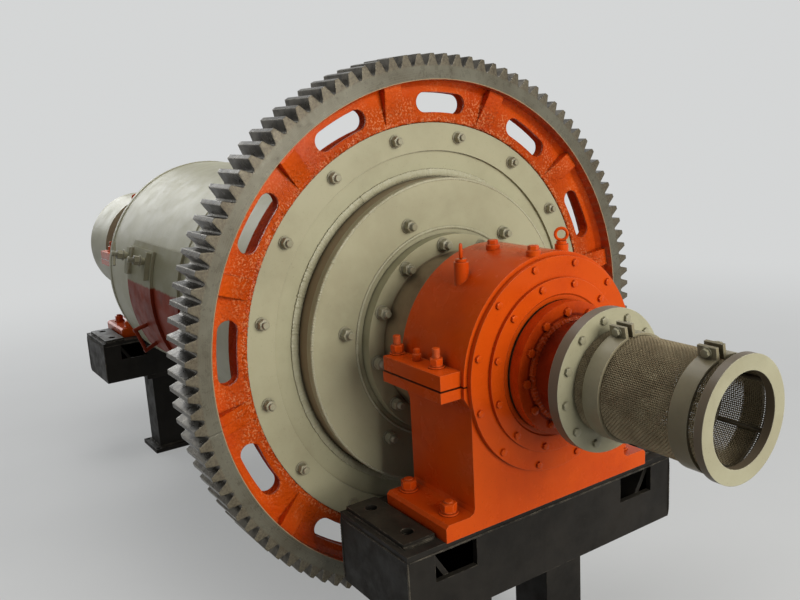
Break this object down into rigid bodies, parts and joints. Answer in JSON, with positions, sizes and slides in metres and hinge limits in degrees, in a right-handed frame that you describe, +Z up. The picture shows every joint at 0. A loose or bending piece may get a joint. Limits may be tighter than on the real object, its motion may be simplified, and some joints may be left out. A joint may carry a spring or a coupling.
{
  "type": "ball mill",
  "caption": "Horizontal grinding mill: steel shell on two split bearings, cast girth gear, feed drum at one end and a trommel screen at the other, on girders with legs.",
  "frame": {"origin": "on the floor under the middle of the machine's length, in the mill's middle plane", "axes": "+X along the mill's axis towards the trommel screen, +Z up"},
  "size_m": [3.864, 1.5676, 1.764],
  "materials": {
    "orange_paint": "glossy paint on castings",
    "girth_gear": "orange paint on the cast web, bare machined steel on the rim and teeth",
    "grey_paint": "semi-gloss cream-grey paint",
    "black_paint": "black paint on welded plate",
    "pad_paint": "worn plate with a sheen",
    "trunnion_steel": "painted neck and machined journal",
    "bare_steel": "dark oiled steel",
    "screen_mesh": "woven wire",
    "red_primer": "red primer and grey paint"
  },
  "bodies": {
    "frame": {"legs_front": "black_paint", "legs_rear": "black_paint", "base_front": "black_paint", "base_rear": "black_paint", "anchor_pads_front": "pad_paint", "anchor_pads_rear": "pad_paint", "pedestal_front": "orange_paint", "pedestal_rear": "orange_paint", "housing_cap_front": "orange_paint", "housing_cap_rear": "orange_paint", "inner_cover_front": "orange_paint", "inner_cover_rear": "orange_paint", "outer_cover_front": "orange_paint", "outer_cover_rear": "orange_paint", "seal_ring_front": "orange_paint", "seal_ring_rear": "orange_paint", "lifting_eyes_front": "orange_paint", "lifting_eyes_rear": "orange_paint"},
    "rotor": {"gear_half_upper": "girth_gear", "gear_half_lower": "girth_gear", "shell": "grey_paint", "shell_flange": "grey_paint", "end_flange_ring": "grey_paint", "end_cover_plate": "grey_paint", "end_drum": "grey_paint", "end_disc": "grey_paint", "trunnion_front": "trunnion_steel", "feed_end_plate": "grey_paint", "trunnion_rear": "trunnion_steel", "feed_neck": "grey_paint", "feed_drum": "grey_paint", "feed_inlet": "grey_paint", "discharge_neck": "orange_paint", "trommel_back_plate": "bare_steel", "trommel_flange": "grey_paint", "trommel_screen": "screen_mesh", "trommel_bars": "bare_steel", "trommel_hoop": "bare_steel", "trommel_band_inner": "grey_paint", "trommel_band_outer": "grey_paint", "trommel_end_ring": "grey_paint", "manhole_frame": "red_primer", "manhole_cover": "grey_paint", "manhole_clamps": "grey_paint"}
  },
  "joints": [
    {"name": "mill_spin", "type": "hinge", "parent": "frame", "child": "rotor", "pos_m": [0, 0, 0.98], "axis": [1, 0, 0], "continuous": true}
  ]
}
